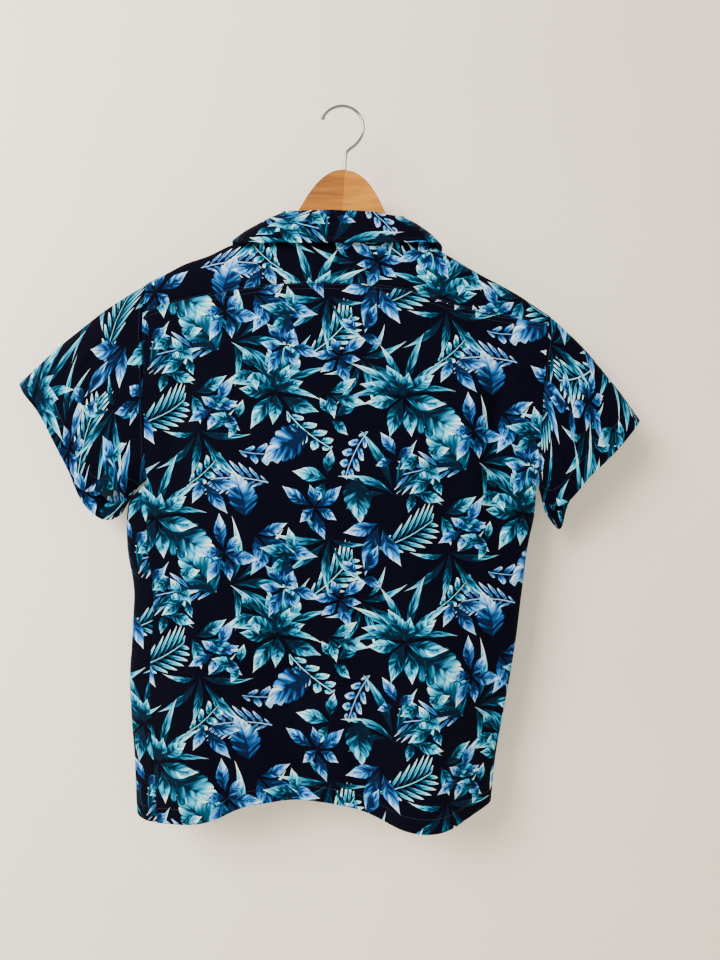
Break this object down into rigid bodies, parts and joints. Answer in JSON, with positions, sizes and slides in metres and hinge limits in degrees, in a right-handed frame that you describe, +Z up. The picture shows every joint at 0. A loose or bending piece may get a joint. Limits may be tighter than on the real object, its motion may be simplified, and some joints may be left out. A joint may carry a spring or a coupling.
{
  "type": "hawaiian shirt on a wooden hanger",
  "caption": "Short-sleeved camp shirt with leafy print, hanging flat on a wooden hanger, open at neck, hem and cuffs.",
  "frame": {"origin": "inside of the hook's crown, where a peg or rail carries the hanger", "axes": "+Z up, +Y out of the shirt's back, -Y out of its buttoned front, +X to the wearer's left"},
  "size_m": [0.7801, 0.0832, 0.8927],
  "materials": {
    "printed_cloth": "soft plain-woven cotton printed with teal and blue leaves on navy",
    "button_resin": "dark resin shirt buttons",
    "hanger_wood": "clear-lacquered beech",
    "hook_chrome": "bright chromed wire"
  },
  "bodies": {
    "root": {"back_panel": "printed_cloth", "yoke": "printed_cloth", "front_left": "printed_cloth", "front_right": "printed_cloth", "sleeve_left": "printed_cloth", "sleeve_right": "printed_cloth", "collar": "printed_cloth", "button_1": "button_resin", "button_2": "button_resin", "button_3": "button_resin", "button_4": "button_resin", "button_5": "button_resin", "button_6": "button_resin", "hanger_left": "hanger_wood", "hanger_right": "hanger_wood", "hanger_hook": "hook_chrome"}
  },
  "joints": []
}
